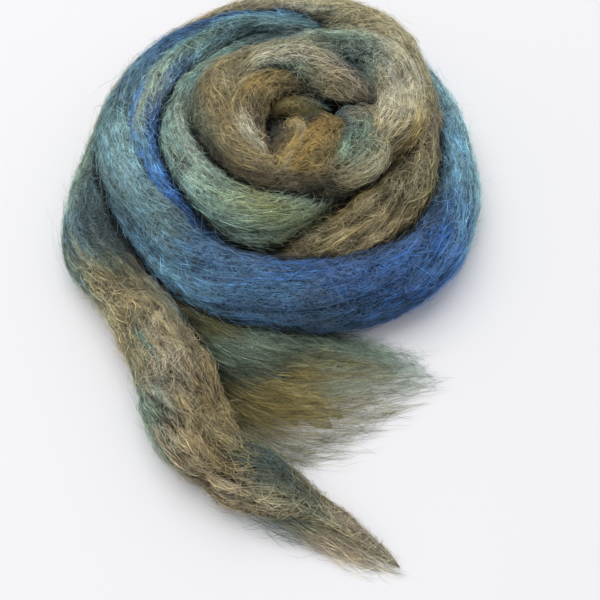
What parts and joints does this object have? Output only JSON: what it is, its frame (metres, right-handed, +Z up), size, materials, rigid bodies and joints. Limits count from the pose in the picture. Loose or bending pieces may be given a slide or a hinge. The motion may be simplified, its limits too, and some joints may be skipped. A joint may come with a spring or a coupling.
{
  "type": "wool roving",
  "caption": "Soft hand-dyed wool roving, one combed strand loosely wound into a flat nest, with a thick tapering tail and an opened wispy end lying in front of it.",
  "frame": {"origin": "on the surface that the roving lies on, under the middle of its footprint", "axes": "+Z up; +Y from the loose ends towards the back of the nest; +X to the right of a viewer who stands in front of the loose ends"},
  "size_m": [0.2014, 0.3361, 0.0561],
  "materials": {
    "blue_wool": "soft combed wool fibre, matt with a slight sheen, dyed from deep blue to grey teal and pale mint",
    "tan_wool": "soft combed wool fibre, matt with a slight sheen, dyed tan and gold with brown and grey streaks",
    "olive_wool": "soft combed wool fibre, matt and loose, dyed olive gold and sage green"
  },
  "bodies": {
    "root": {"nest": "blue_wool", "tail_end": "tan_wool", "fan_end": "olive_wool"}
  },
  "joints": []
}
